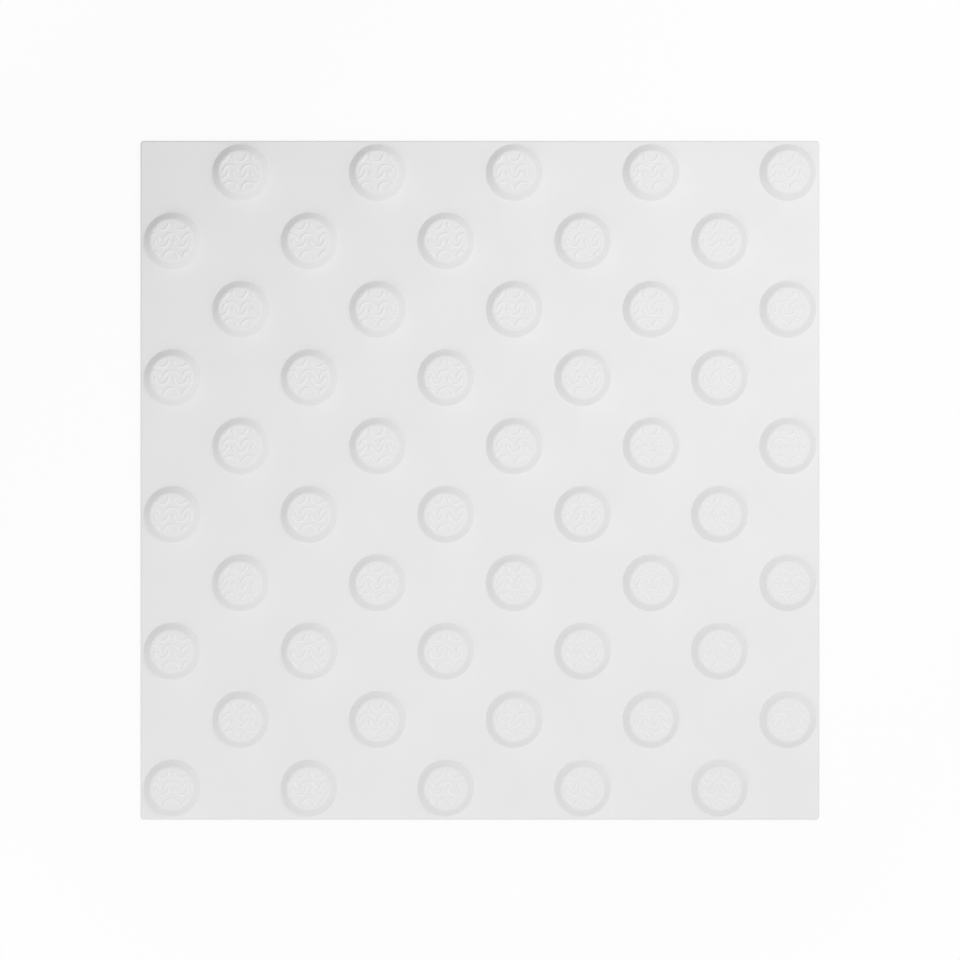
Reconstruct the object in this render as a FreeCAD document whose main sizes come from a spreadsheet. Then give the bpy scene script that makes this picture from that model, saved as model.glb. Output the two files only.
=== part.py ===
import FreeCAD, Part
import os

import Sketcher

# Tactile warning slab: a thin square slab with staggered truncated domes, moulded as one piece.
# Millimetres, +Z up. The origin is the middle of the flat underside, which beds on the floor.

SLAB_LABEL = "tactile_slab"

# Driving dimensions: alias, value, meaning
SIZES = (
    ("slab_side", 298, "side of the square slab, which lies on a 300 mm module with open joints"),
    ("slab_thickness", 3, "body of the slab, without the domes"),
    ("corner_radius", 1.5, "rounding of the upright corners"),
    ("arris_width", 0.7, "easing along the slab's upper edge"),
    ("dome_pitch", 60, "from dome to dome along a row"),
    ("row_pitch", 30, "from row to row, where each row is shifted by half a dome pitch"),
    ("dome_base_diameter", 25, "dome where it meets the slab"),
    ("dome_top_diameter", 18, "flat top of the dome, inside its eased rim"),
    ("dome_height", 5, "dome above the slab"),
    ("rim_width", 0.8, "eased rim between a dome's flank and its top, seen from above"),
    ("rim_drop", 0.4, "how far the eased rim falls from the top to the flank"),
)

# The domes stand on a lattice of rows and half-pitch columns, centred on the slab.
# It has as many of each as leave every dome whole, inside the eased edge.
DOME_ROOM = "(Sizes.slab_side - 2 * Sizes.arris_width - Sizes.dome_base_diameter)"
COLUMN_PITCH = "(Sizes.dome_pitch / 2)"
COLUMN_COUNT = f"(floor({DOME_ROOM} / {COLUMN_PITCH}) + 1)"
ROW_COUNT = f"(floor({DOME_ROOM} / Sizes.row_pitch) + 1)"


def make_sizes(doc):
    """The sheet of driving dimensions that every feature is bound to."""
    sheet = doc.addObject("Spreadsheet::Sheet", "Sizes")
    for row, (alias, value, meaning) in enumerate(SIZES, start=1):
        sheet.set(f"A{row}", alias)
        sheet.set(f"B{row}", str(value))
        sheet.set(f"C{row}", meaning)
        sheet.setAlias(f"B{row}", alias)
    doc.recompute()
    return sheet


def origin_feature(body, role):
    """One of the body's own planes or axes."""
    return next(feature for feature in body.Origin.OriginFeatures if feature.Role == role)


def new_sketch(body, name, plane_role):
    """An empty sketch on one of the body's own planes."""
    sketch = body.newObject("Sketcher::SketchObject", name)
    sketch.AttachmentSupport = [(origin_feature(body, plane_role), "")]
    sketch.MapMode = "FlatFace"
    return sketch


def draw_loop(sketch, corners):
    """Closed lines from corner to corner, each joined to the next."""
    ends = corners[1:] + corners[:1]
    lines = [sketch.addGeometry(Part.LineSegment(start, end)) for start, end in zip(corners, ends)]
    for line, following in zip(lines, lines[1:] + lines[:1]):
        sketch.addConstraint(Sketcher.Constraint("Coincident", line, 2, following, 1))
    return lines


def add_dimension(sketch, name, constraint, expression):
    """A named dimension of a sketch, bound to the sheet."""
    sketch.renameConstraint(sketch.addConstraint(constraint), name)
    sketch.setExpression(f"Constraints.{name}", expression)


def draw_outline(body, sheet):
    """The slab's square outline, centred on the origin."""
    sketch = new_sketch(body, "slab_outline", "XY_Plane")
    half = sheet.slab_side / 2
    corners = [FreeCAD.Vector(x * half, y * half) for x, y in ((-1, -1), (1, -1), (1, 1), (-1, 1))]
    front, right, back, left = draw_loop(sketch, corners)
    for side in (front, back):
        sketch.addConstraint(Sketcher.Constraint("Horizontal", side))
    for side in (right, left):
        sketch.addConstraint(Sketcher.Constraint("Vertical", side))
    sketch.addConstraint(Sketcher.Constraint("Symmetric", front, 1, back, 1, -1, 1))
    add_dimension(sketch, "width", Sketcher.Constraint("DistanceX", front, 1, front, 2, 2 * half),
                  "Sizes.slab_side")
    add_dimension(sketch, "depth", Sketcher.Constraint("DistanceY", right, 1, right, 2, 2 * half),
                  "Sizes.slab_side")
    return sketch


def draw_dome_section(body, sheet, name, column, row):
    """Half of a dome's section, standing on the slab at one place of the lattice."""
    sketch = new_sketch(body, name, "XZ_Plane")
    columns_from_middle = f"({column} - ({COLUMN_COUNT} - 1) / 2)"
    rows_from_middle = f"({row} - ({ROW_COUNT} - 1) / 2)"
    sketch.setExpression("AttachmentOffset.Base.x", f"{COLUMN_PITCH} * {columns_from_middle}")
    sketch.setExpression("AttachmentOffset.Base.y", "Sizes.slab_thickness")
    sketch.setExpression("AttachmentOffset.Base.z", f"-Sizes.row_pitch * {rows_from_middle}")

    base_radius = sheet.dome_base_diameter / 2
    top_radius = sheet.dome_top_diameter / 2
    height = sheet.dome_height
    corners = [
        FreeCAD.Vector(0, 0),
        FreeCAD.Vector(base_radius, 0),
        FreeCAD.Vector(top_radius + sheet.rim_width, height - sheet.rim_drop),
        FreeCAD.Vector(top_radius, height),
        FreeCAD.Vector(0, height),
    ]
    base, flank, rim, top, axis = draw_loop(sketch, corners)
    sketch.addConstraint(Sketcher.Constraint("Coincident", base, 1, -1, 1))
    sketch.addConstraint(Sketcher.Constraint("Horizontal", base))
    sketch.addConstraint(Sketcher.Constraint("Horizontal", top))
    sketch.addConstraint(Sketcher.Constraint("Vertical", axis))
    add_dimension(sketch, "base_radius", Sketcher.Constraint("DistanceX", base, 1, base, 2, base_radius),
                  "Sizes.dome_base_diameter / 2")
    add_dimension(sketch, "top_radius", Sketcher.Constraint("DistanceX", top, 2, top, 1, top_radius),
                  "Sizes.dome_top_diameter / 2")
    add_dimension(sketch, "height", Sketcher.Constraint("DistanceY", axis, 2, axis, 1, height),
                  "Sizes.dome_height")
    add_dimension(sketch, "rim_width", Sketcher.Constraint("DistanceX", rim, 2, rim, 1, sheet.rim_width),
                  "Sizes.rim_width")
    add_dimension(sketch, "rim_drop", Sketcher.Constraint("DistanceY", rim, 1, rim, 2, sheet.rim_drop),
                  "Sizes.rim_drop")
    return sketch


def pick_edges(feature, is_wanted):
    """The names of a feature's edges that is_wanted picks."""
    return [f"Edge{number}" for number, edge in enumerate(feature.Shape.Edges, start=1) if is_wanted(edge)]


def make_slab(body, sheet):
    """The plain slab, with its upright corners rounded and its upper edge eased."""
    pad = body.newObject("PartDesign::Pad", "slab")
    pad.Profile = draw_outline(body, sheet)
    pad.setExpression("Length", "Sizes.slab_thickness")
    body.Document.recompute()
    half_thickness = sheet.slab_thickness / 2

    corners = body.newObject("PartDesign::Fillet", "slab_corners")
    corners.Base = (pad, pick_edges(pad, lambda edge: edge.BoundBox.ZLength > half_thickness))
    corners.setExpression("Radius", "Sizes.corner_radius")
    body.Document.recompute()

    arris = body.newObject("PartDesign::Chamfer", "slab_arris")
    arris.Base = (corners, pick_edges(corners, lambda edge: edge.BoundBox.ZMin > half_thickness))
    arris.setExpression("Size", "Sizes.arris_width")
    body.Document.recompute()


def make_dome_rows(body, sheet, name, first):
    """Every second row of domes: the outer set starts at the slab's corner, the shifted set one step in."""
    section = draw_dome_section(body, sheet, f"{name}_section", column=first, row=first)
    dome = body.newObject("PartDesign::Revolution", f"{name}_dome")
    dome.Profile = section
    dome.ReferenceAxis = (section, ["V_Axis"])
    dome.Angle = 360
    body.Document.recompute()

    domes_in_row = f"floor(({COLUMN_COUNT} - {first} + 1) / 2)"
    rows_in_set = f"floor(({ROW_COUNT} - {first} + 1) / 2)"
    rows = body.newObject("PartDesign::LinearPattern", name)
    rows.Originals = [dome]
    rows.Direction = (origin_feature(body, "X_Axis"), [""])
    rows.setExpression("Length", f"Sizes.dome_pitch * ({domes_in_row} - 1)")
    rows.setExpression("Occurrences", domes_in_row)
    rows.Direction2 = (origin_feature(body, "Y_Axis"), [""])
    rows.setExpression("Length2", f"2 * Sizes.row_pitch * ({rows_in_set} - 1)")
    rows.setExpression("Occurrences2", rows_in_set)
    body.Tip = rows
    body.Document.recompute()


def check(doc, body):
    """Stops unless every feature came out sound and the slab is one valid solid."""
    for feature in doc.Objects:
        if {"Invalid", "Error"} & set(feature.State):
            raise RuntimeError(f"{feature.Label} failed: {feature.State}")
    if body.Shape.isNull() or not body.Shape.isValid() or len(body.Shape.Solids) != 1:
        raise RuntimeError(f"{body.Label} is not one valid solid")


doc = FreeCAD.newDocument("tactile_paving_slab")
sheet = make_sizes(doc)
body = doc.addObject("PartDesign::Body", "Slab")
body.Label = SLAB_LABEL
make_slab(body, sheet)
make_dome_rows(body, sheet, "outer_rows", first=0)
make_dome_rows(body, sheet, "shifted_rows", first=1)
check(doc, body)
os.makedirs("parts", exist_ok=True)
body.Shape.exportStep(f"parts/{body.Label}.step")
print(f"{body.Label}: {len(body.Shape.Faces)} faces, {body.Shape.Volume / 1000:.1f} cubic centimetres")
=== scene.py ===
import math

import bmesh
import bpy
from mathutils import Matrix, Vector


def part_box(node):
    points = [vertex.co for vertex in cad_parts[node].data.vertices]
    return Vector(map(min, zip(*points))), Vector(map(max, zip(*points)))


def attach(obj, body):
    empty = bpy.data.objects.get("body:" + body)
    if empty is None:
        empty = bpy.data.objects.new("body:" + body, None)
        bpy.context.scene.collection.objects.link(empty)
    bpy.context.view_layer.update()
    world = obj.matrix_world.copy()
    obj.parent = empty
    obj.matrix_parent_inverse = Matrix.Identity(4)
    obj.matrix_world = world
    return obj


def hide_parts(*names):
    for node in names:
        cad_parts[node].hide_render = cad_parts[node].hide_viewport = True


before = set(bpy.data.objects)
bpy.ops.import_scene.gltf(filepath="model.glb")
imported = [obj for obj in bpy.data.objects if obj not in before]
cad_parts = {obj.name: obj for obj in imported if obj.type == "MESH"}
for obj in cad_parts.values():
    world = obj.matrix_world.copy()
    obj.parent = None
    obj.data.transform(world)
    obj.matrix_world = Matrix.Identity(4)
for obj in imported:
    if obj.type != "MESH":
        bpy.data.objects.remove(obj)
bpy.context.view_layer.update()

# The plate is the slab's thin square body, cast in matt white polymer in one with its domes.
# Its upright corners are rounded, a small radius runs along its upper edge, and its underside is flat.
MM = 0.001
PLATE_THICKNESS = 3 * MM
CORNER_RADIUS = 1.5 * MM
CORNER_STEPS = 6
ARRIS_WIDTH = 0.7 * MM
ARRIS_STEPS = 4
# A narrow flat loop beside each radius keeps the flats' shading even
FLAT_LOOP = 0.1 * MM

slab_low, slab_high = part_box("tactile_slab")
slab_side = slab_high.x - slab_low.x
plate_top = slab_low.z + PLATE_THICKNESS

slab = bmesh.new()
bmesh.ops.create_grid(slab, x_segments=1, y_segments=1, size=slab_side / 2,
                      matrix=Matrix.Translation((0, 0, slab_low.z)))
bmesh.ops.bevel(slab, geom=slab.verts[:], offset=CORNER_RADIUS, offset_type="OFFSET", affect="VERTICES",
                segments=CORNER_STEPS, profile=0.5, material=-1)
raised = bmesh.ops.extrude_face_region(slab, geom=slab.faces[:])["geom"]
raised_verts = [item for item in raised if isinstance(item, bmesh.types.BMVert)]
bmesh.ops.translate(slab, verts=raised_verts, vec=(0, 0, PLATE_THICKNESS))
upper_edges = [edge for edge in slab.edges if all(vert.co.z > slab_low.z for vert in edge.verts)]
bmesh.ops.bevel(slab, geom=upper_edges, offset=ARRIS_WIDTH, offset_type="OFFSET", affect="EDGES",
                segments=ARRIS_STEPS, profile=0.5, material=-1)
upper_face = max(slab.faces, key=lambda face: face.calc_center_median().z)
bmesh.ops.inset_region(slab, faces=[upper_face], thickness=FLAT_LOOP, use_even_offset=True)
bmesh.ops.delete(slab, geom=[upper_face], context="FACES_ONLY")

# The domes are truncated cones cast with the plate, with a crisp foot and a softly rounded rim.
# They stand in rows, and each row is shifted by half a pitch, so that they lie on a diagonal lattice.
DOME_PITCH = 60 * MM
ROW_PITCH = 30 * MM
DOMES_IN_ROW = 5
ROWS = 10
DOME_BASE_RADIUS = 12.42 * MM
DOME_SHOULDER_RADIUS = 9.5 * MM
DOME_SIDES = 64
FOOT_EASE = 0.1 * MM
FOOT_STEPS = 2
RIM_EASE = 0.78 * MM
RIM_STEPS = 5
RING_TOLERANCE = 0.001 * MM

dome_top = slab_high.z


def ring_edges(mesh, radius, height):
    """The edges of a ring about the upright axis."""
    return [edge for edge in mesh.edges
            if all(abs(vert.co.xy.length - radius) < RING_TOLERANCE
                   and abs(vert.co.z - height) < RING_TOLERANCE for vert in edge.verts)]


def turn_dome():
    """A dome about the upright axis: its section turned, with the foot and the rim rounded."""
    dome = bmesh.new()
    section = [(DOME_BASE_RADIUS + FOOT_EASE + FLAT_LOOP, plate_top),
               (DOME_BASE_RADIUS, plate_top),
               (DOME_SHOULDER_RADIUS, dome_top)]
    points = [dome.verts.new((radius, 0, height)) for radius, height in section]
    lines = [dome.edges.new(ends) for ends in zip(points, points[1:])]
    bmesh.ops.spin(dome, geom=points + lines, cent=(0, 0, 0), axis=(0, 0, 1), angle=math.tau,
                   steps=DOME_SIDES, use_merge=True)
    bmesh.ops.edgeloop_fill(dome, edges=ring_edges(dome, DOME_SHOULDER_RADIUS, dome_top))
    for radius, height, ease, steps in ((DOME_BASE_RADIUS, plate_top, FOOT_EASE, FOOT_STEPS),
                                        (DOME_SHOULDER_RADIUS, dome_top, RIM_EASE, RIM_STEPS)):
        bmesh.ops.bevel(dome, geom=ring_edges(dome, radius, height), offset=ease, offset_type="OFFSET",
                        affect="EDGES", segments=steps, profile=0.5, material=-1)
    flat_top = max(dome.faces, key=lambda face: len(face.verts))
    bmesh.ops.inset_region(dome, faces=[flat_top], thickness=FLAT_LOOP, use_even_offset=True)
    return dome


# The grip ridges are thin half rings that stand up from each dome's flat top, cast with it.
# Arches and cups interlock in rows, and the pattern shifts by half a step from one row of domes to the next.
RIDGE_STEP = 8.2 * MM
RIDGE_ROW_PITCH = 7.45 * MM
RIDGE_COLUMNS = (-2, -1, 0, 1)
RIDGE_SHIFT = 0.12 * MM
ARCH_ROWS = (0, -1)
ARCH_RADIUS = 3.08 * MM
ARCH_DROP = 0.26 * MM
ARCH_HALF_SPAN = math.radians(85)
CUP_ROWS = (0, 1)
CUP_RADIUS = 3 * MM
CUP_DROP = 0.1 * MM
CUP_HALF_SPAN = math.radians(91)
QUARTER_TURN = math.tau / 4
RIDGE_WIDTH = 1.75 * MM
RIDGE_HEIGHT = 0.32 * MM
RIDGE_SINK = 0.05 * MM
RIDGE_SECTION_STEPS = 6
RIDGE_TURN_STEP = math.radians(18)
NOSE_LENGTH = 0.5 * MM
NOSE_TIP_SHARE = 0.35
SHORTEST_RIDGE = math.radians(10)
RIDGE_FIELD_RADIUS = 8.7 * MM
SHARP_ANGLE = math.radians(50)

ridge_foot = dome_top - RIDGE_SINK


def add_nose(dome, end_face, base, forward):
    """Draws a ridge's end out into a low nose. base is the middle of its foot, and forward points out."""
    tip_face = bmesh.ops.extrude_discrete_faces(dome, faces=[end_face])["faces"][0]
    bmesh.ops.scale(dome, verts=tip_face.verts, vec=Vector((1, 1, 1)) * NOSE_TIP_SHARE,
                    space=Matrix.Translation(-base))
    bmesh.ops.translate(dome, verts=tip_face.verts, vec=forward * NOSE_LENGTH)


def add_ridge(dome, centre, radius, middle, half_span):
    """A half ring about centre, to both sides of its middle angle, as far as the ridge field goes."""
    reach = (RIDGE_FIELD_RADIUS ** 2 - centre.length_squared - radius ** 2) / 2 / radius
    start, end = middle - half_span, middle + half_span
    if reach < centre.length:
        # The field's edge crosses the ring, and only the side that faces the dome's middle lies inside
        inward = math.atan2(-centre.y, -centre.x)
        inward += math.tau * round((middle - inward) / math.tau)
        half_inside = math.pi - math.acos(max(reach / centre.length, -1))
        start = max(start, inward - half_inside)
        end = min(end, inward + half_inside)
    if end - start < SHORTEST_RIDGE:
        return
    outward = Vector((math.cos(start), math.sin(start)))
    section = []
    for step in range(RIDGE_SECTION_STEPS + 1):
        across = step / RIDGE_SECTION_STEPS - 1 / 2
        swell = (1 + math.cos(math.tau * across)) / 2
        place = centre + outward * (radius + RIDGE_WIDTH * across)
        section.append(dome.verts.new((place.x, place.y, ridge_foot + (RIDGE_HEIGHT + RIDGE_SINK) * swell)))
    first_face = dome.faces.new(section)
    turned = bmesh.ops.spin(dome, geom=section + first_face.edges[:] + [first_face],
                            cent=(centre.x, centre.y, 0), axis=(0, 0, 1), angle=end - start,
                            steps=math.ceil((end - start) / RIDGE_TURN_STEP))
    last_face = next(item for item in turned["geom_last"] if isinstance(item, bmesh.types.BMFace))
    for face, angle, way in ((first_face, start, -1), (last_face, end, 1)):
        arm = Vector((math.cos(angle), math.sin(angle), 0))
        base = Vector((centre.x, centre.y, ridge_foot)) + arm * radius
        add_nose(dome, face, base, Vector((-arm.y, arm.x, 0)) * way)


def ridged_dome(name, arch_shift):
    """A dome's mesh with its ridges: arches at arch_shift and whole steps from it, cups half a step on."""
    dome = turn_dome()
    for column in RIDGE_COLUMNS:
        arch_x = (column + arch_shift) * RIDGE_STEP - RIDGE_SHIFT
        cup_x = arch_x + RIDGE_STEP / 2
        for row in ARCH_ROWS:
            arch_centre = Vector((arch_x, row * RIDGE_ROW_PITCH - ARCH_DROP))
            add_ridge(dome, arch_centre, ARCH_RADIUS, QUARTER_TURN, ARCH_HALF_SPAN)
        for row in CUP_ROWS:
            cup_centre = Vector((cup_x, row * RIDGE_ROW_PITCH - CUP_DROP))
            add_ridge(dome, cup_centre, CUP_RADIUS, -QUARTER_TURN, CUP_HALF_SPAN)
    mesh = bpy.data.meshes.new(name)
    dome.to_mesh(mesh)
    dome.free()
    return mesh


dome_kinds = (ridged_dome("outer_row_dome", arch_shift=0), ridged_dome("shifted_row_dome", arch_shift=1 / 2))
for row in range(ROWS):
    for place in range(DOMES_IN_ROW):
        shifted = row % 2
        column = 2 * place + shifted
        first_new = len(slab.verts)
        slab.from_mesh(dome_kinds[shifted])
        slab.verts.ensure_lookup_table()
        dome_place = Vector(((column - (2 * DOMES_IN_ROW - 1) / 2) * DOME_PITCH / 2,
                             (row - (ROWS - 1) / 2) * ROW_PITCH, 0))
        bmesh.ops.translate(slab, verts=slab.verts[first_new:], vec=dome_place)
open_edges = [edge for edge in slab.edges if edge.is_boundary]
bmesh.ops.triangle_fill(slab, edges=open_edges, use_beauty=True, normal=(0, 0, 1))
bmesh.ops.recalc_face_normals(slab, faces=slab.faces[:])

slab_mesh = bpy.data.meshes.new("cast_slab")
slab.to_mesh(slab_mesh)
slab.free()
slab_mesh.shade_smooth()
slab_mesh.set_sharp_from_angle(angle=SHARP_ANGLE)
cast_slab = bpy.data.objects.new("cast_slab", slab_mesh)
bpy.context.collection.objects.link(cast_slab)

# The polymer is coloured right through and matt: its white drifts faintly from place to place, its skin is
# duller in some patches than in others, and it has taken the fine grain of the mould. The crests of the grip
# ridges carry a painted highlight, and the domes' flat tops and ridges are coloured a little darker than the
# plate.
POLYMER_WHITE = (0.825, 0.825, 0.825, 1)
POLYMER_DEEPER_WHITE = (0.81, 0.81, 0.81, 1)
DRIFT_PER_METRE = 28
DRIFT_DETAIL = 4
# The domes' flat tops and their ridges are blended half way to this darker white, fading in over the top of
# the rim
DARKER_TOP_WHITE = (0.795, 0.795, 0.795, 1)
DARKER_TOP_SHARE = 0.5
DARKER_TOP_FADE = 0.3 * MM
# Painted highlight: the upper part of each ridge's crest is blended to this whiter colour
CREST_HIGHLIGHT_WHITE = (0.885, 0.885, 0.885, 1)
CREST_HIGHLIGHT_FROM = 0.55 * RIDGE_HEIGHT
DULL_PATCHES_PER_METRE = 150
DULL_PATCH_DETAIL = 3
ROUGHNESS_RANGE = (0.5, 0.62)
GRAIN_PER_METRE = 2200
GRAIN_DETAIL = 2
GRAIN_DEPTH = 0.012 * MM
USUAL_NOISE_RANGE = (0.3, 0.7)
WHOLE_RANGE = (0, 1)

polymer = bpy.data.materials.new("cast_white_polymer")
polymer.use_nodes = True
polymer_tree = polymer.node_tree
nodes, links = polymer_tree.nodes, polymer_tree.links
polymer_shader = nodes["Principled BSDF"]
place_on_slab = nodes.new("ShaderNodeTexCoord").outputs["Object"]


def add_noise(label, scale, detail):
    """A noise texture laid over the slab, of so many cells a metre."""
    noise = nodes.new("ShaderNodeTexNoise")
    noise.label = label
    noise.inputs["Scale"].default_value = scale
    noise.inputs["Detail"].default_value = detail
    links.new(place_on_slab, noise.inputs["Vector"])
    return noise.outputs["Fac"]


def stretch(tree, value, old_range, new_range):
    """A value with its old range stretched to the new one, and held at the ends of it."""
    stretched = tree.nodes.new("ShaderNodeMapRange")
    stretched.inputs["From Min"].default_value, stretched.inputs["From Max"].default_value = old_range
    stretched.inputs["To Min"].default_value, stretched.inputs["To Max"].default_value = new_range
    tree.links.new(value, stretched.inputs["Value"])
    return stretched.outputs["Result"]


def add_blend(label, share, far_white):
    """A blend that goes to the far white as the share goes to one. Gives its near end and its result."""
    blend = nodes.new("ShaderNodeMix")
    blend.label = label
    blend.data_type = "RGBA"
    links.new(share, blend.inputs["Factor"])
    near_end, far_end = [socket for socket in blend.inputs if socket.type == "RGBA"]
    far_end.default_value = far_white
    return near_end, next(socket for socket in blend.outputs if socket.type == "RGBA")


drift_noise = add_noise("drift", DRIFT_PER_METRE, DRIFT_DETAIL)
drift = stretch(polymer_tree, drift_noise, USUAL_NOISE_RANGE, WHOLE_RANGE)
plain_white, cast_white = add_blend("drift of the white", drift, POLYMER_DEEPER_WHITE)
plain_white.default_value = POLYMER_WHITE
place_parts = nodes.new("ShaderNodeSeparateXYZ")
links.new(place_on_slab, place_parts.inputs["Vector"])
height_on_slab = place_parts.outputs["Z"]
# Dome tops and ridges drawn a little darker than the plate, fading in over the top of the rim
darker_top_heights = (dome_top - DARKER_TOP_FADE, dome_top)
top_darkening = stretch(polymer_tree, height_on_slab, darker_top_heights, (0, DARKER_TOP_SHARE))
white_before_top_darkening, white_with_darker_tops = add_blend("darker dome tops", top_darkening, DARKER_TOP_WHITE)
links.new(cast_white, white_before_top_darkening)
# Painted highlight along the ridge crests: a whiter colour from a little above half the ridge's height
crest_highlight_heights = (dome_top + CREST_HIGHLIGHT_FROM, dome_top + RIDGE_HEIGHT)
crest_highlight_share = stretch(polymer_tree, height_on_slab, crest_highlight_heights, WHOLE_RANGE)
unhighlighted_white, crest_highlighted_white = add_blend("painted crest highlight", crest_highlight_share, CREST_HIGHLIGHT_WHITE)
links.new(white_with_darker_tops, unhighlighted_white)
links.new(crest_highlighted_white, polymer_shader.inputs["Base Color"])
dull_patches = add_noise("dull patches", DULL_PATCHES_PER_METRE, DULL_PATCH_DETAIL)
dullness = stretch(polymer_tree, dull_patches, USUAL_NOISE_RANGE, ROUGHNESS_RANGE)
links.new(dullness, polymer_shader.inputs["Roughness"])
grain = nodes.new("ShaderNodeBump")
grain.inputs["Distance"].default_value = GRAIN_DEPTH
links.new(add_noise("grain of the mould", GRAIN_PER_METRE, GRAIN_DETAIL), grain.inputs["Height"])
links.new(grain.outputs["Normal"], polymer_shader.inputs["Normal"])
slab_mesh.materials.append(polymer)
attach(cast_slab, "root")
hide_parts("tactile_slab")

# The floor is a plain white sheet that the slab lies on, and shows as the photo's white background. Near the
# slab most of that white is its own glow, so that the slab's shadow stays faint. Further out all of it is.
FLOOR_SIDE = 6
FLOOR_GAP = 0.2 * MM
FLOOR_COLOUR = (0.9, 0.9, 0.9, 1)
BACKGROUND_WHITE = 1
# How far from the slab's middle the glow starts and ends to rise, and its shares there
NEAR_AND_FAR = (0.23, 0.36)
GLOW_NEAR_AND_FAR = (0.88, 1)

floor_mesh = bpy.data.meshes.new("floor")
floor_shape = bmesh.new()
bmesh.ops.create_grid(floor_shape, x_segments=1, y_segments=1, size=FLOOR_SIDE / 2,
                      matrix=Matrix.Translation((0, 0, slab_low.z - FLOOR_GAP)))
floor_shape.to_mesh(floor_mesh)
floor_shape.free()
floor = bpy.data.objects.new("floor", floor_mesh)
bpy.context.collection.objects.link(floor)
floor_paint = bpy.data.materials.new("white_floor")
floor_paint.use_nodes = True
floor_mesh.materials.append(floor_paint)
floor_tree = floor_paint.node_tree
floor_shader = floor_tree.nodes["Principled BSDF"]
floor_shader.inputs["Base Color"].default_value = FLOOR_COLOUR


def seen_directly(tree):
    """One for rays that show the background itself: the camera's, mirrored and refracted ones."""
    path = tree.nodes.new("ShaderNodeLightPath")
    seen = path.outputs["Is Camera Ray"]
    for kind in ("Is Glossy Ray", "Is Transmission Ray"):
        either = tree.nodes.new("ShaderNodeMath")
        either.operation = "MAXIMUM"
        tree.links.new(seen, either.inputs[0])
        tree.links.new(path.outputs[kind], either.inputs[1])
        seen = either.outputs["Value"]
    return seen


def add_shader_mix(tree, share, first_shader, second_shader):
    """A mix that goes from the first shader to the second as the share goes to one."""
    mix = tree.nodes.new("ShaderNodeMixShader")
    tree.links.new(share, mix.inputs["Fac"])
    for shader, socket in zip((first_shader, second_shader), mix.inputs[1:]):
        tree.links.new(shader, socket)
    return mix.outputs["Shader"]


glow = floor_tree.nodes.new("ShaderNodeEmission")
glow.inputs["Strength"].default_value = BACKGROUND_WHITE
place_on_floor = floor_tree.nodes.new("ShaderNodeTexCoord").outputs["Object"]
from_middle = floor_tree.nodes.new("ShaderNodeVectorMath")
from_middle.operation = "LENGTH"
floor_tree.links.new(place_on_floor, from_middle.inputs["Vector"])
glow_here = stretch(floor_tree, from_middle.outputs["Value"], NEAR_AND_FAR, GLOW_NEAR_AND_FAR)
glow_share = floor_tree.nodes.new("ShaderNodeMath")
glow_share.operation = "MULTIPLY"
floor_tree.links.new(seen_directly(floor_tree), glow_share.inputs[0])
floor_tree.links.new(glow_here, glow_share.inputs[1])
floor_surface = add_shader_mix(floor_tree, glow_share.outputs["Value"], floor_shader.outputs["BSDF"],
                               glow.outputs["Emission"])
floor_tree.links.new(floor_surface, floor_tree.nodes["Material Output"].inputs["Surface"])

# A low grey card stands beyond the slab's back left corner, out of the picture. It keeps some of the room's
# light off the sides of the domes that face it, as a studio flag does.
CARD_WIDTH = 0.6
CARD_HEIGHT = 0.25
CARD_DISTANCE = 0.38
CARD_BEARING = math.radians(128)
CARD_COLOUR = (0.3, 0.3, 0.3, 1)

card_mesh = bpy.data.meshes.new("grey_card")
card_shape = bmesh.new()
bmesh.ops.create_grid(card_shape, x_segments=1, y_segments=1, size=CARD_WIDTH / 2)
bmesh.ops.scale(card_shape, verts=card_shape.verts, vec=(1, CARD_HEIGHT / CARD_WIDTH, 1))
bmesh.ops.rotate(card_shape, verts=card_shape.verts, matrix=Matrix.Rotation(QUARTER_TURN, 3, "X"))
bmesh.ops.translate(card_shape, verts=card_shape.verts, vec=(0, CARD_DISTANCE, CARD_HEIGHT / 2))
bmesh.ops.rotate(card_shape, verts=card_shape.verts,
                 matrix=Matrix.Rotation(CARD_BEARING - QUARTER_TURN, 3, "Z"))
card_shape.to_mesh(card_mesh)
card_shape.free()
card = bpy.data.objects.new("grey_card", card_mesh)
card.visible_camera = False
bpy.context.collection.objects.link(card)
card_paint = bpy.data.materials.new("grey_card")
card_paint.use_nodes = True
card_paint.node_tree.nodes["Principled BSDF"].inputs["Base Color"].default_value = CARD_COLOUR
card_mesh.materials.append(card_paint)

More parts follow.
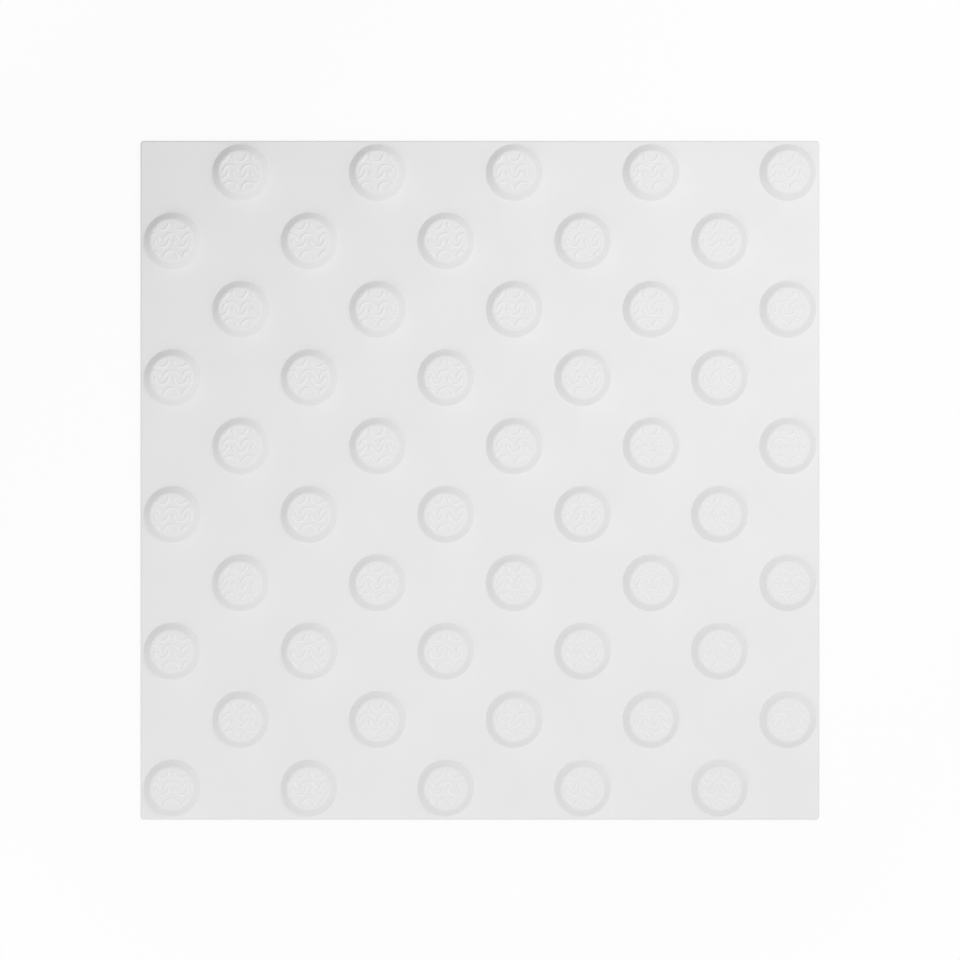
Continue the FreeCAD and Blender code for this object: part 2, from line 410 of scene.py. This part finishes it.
# The light is a white room with two soft round lamps, both about as high: the main one above the slab's
# back right corner, and a weaker one beyond its front left corner.
ROOM_WHITE = (1, 1, 1, 1)
ROOM_STRENGTH = 0.762
LAMP_WIDTH = 0.35
LAMPS = (("main_lamp", Vector((0.216, 0.156, 0.567)), 0.8),
         ("front_lamp", Vector((-0.3, -0.4, 0.6)), 0.474))

room = bpy.data.worlds.new("white_room")
room.use_nodes = True
room_tree = room.node_tree
room_light = room_tree.nodes["Background"]
room_light.inputs["Color"].default_value = ROOM_WHITE
room_light.inputs["Strength"].default_value = ROOM_STRENGTH
backdrop = room_tree.nodes.new("ShaderNodeBackground")
backdrop.inputs["Color"].default_value = ROOM_WHITE
backdrop.inputs["Strength"].default_value = BACKGROUND_WHITE
room_surface = add_shader_mix(room_tree, seen_directly(room_tree), room_light.outputs["Background"],
                              backdrop.outputs["Background"])
room_tree.links.new(room_surface, room_tree.nodes["World Output"].inputs["Surface"])
bpy.context.scene.world = room

for name, place, watts in LAMPS:
    lamp_data = bpy.data.lights.new(name, "AREA")
    lamp_data.shape = "DISK"
    lamp_data.size = LAMP_WIDTH
    lamp_data.energy = watts
    lamp = bpy.data.objects.new(name, lamp_data)
    lamp.location = place
    lamp.rotation_euler = (-place).to_track_quat("-Z", "Y").to_euler()
    lamp.visible_camera = False
    bpy.context.collection.objects.link(lamp)

# The camera looks straight down on the slab from a metre and a half, which shows its square face only.
# Its place and its lens set the slab as large in the picture, and at the same spot, as in the photo.
LENS = 133
SENSOR_WIDTH = 36
PHOTO_SIDE_PX = 960
SLAB_SIDE_PX = 678.7
SLAB_CENTRE_PX = Vector((479.95, 480.25))

metres_per_px = slab_side / SLAB_SIDE_PX
picture_side = PHOTO_SIDE_PX * metres_per_px
camera_data = bpy.data.cameras.new("camera")
camera_data.lens = LENS
camera_data.sensor_width = SENSOR_WIDTH
camera = bpy.data.objects.new("camera", camera_data)
camera.location = (picture_side / 2 - SLAB_CENTRE_PX.x * metres_per_px,
                   SLAB_CENTRE_PX.y * metres_per_px - picture_side / 2,
                   plate_top - ARRIS_WIDTH + picture_side * LENS / SENSOR_WIDTH)
bpy.context.collection.objects.link(camera)
bpy.context.scene.camera = camera
bpy.context.scene.view_settings.view_transform = "Standard"
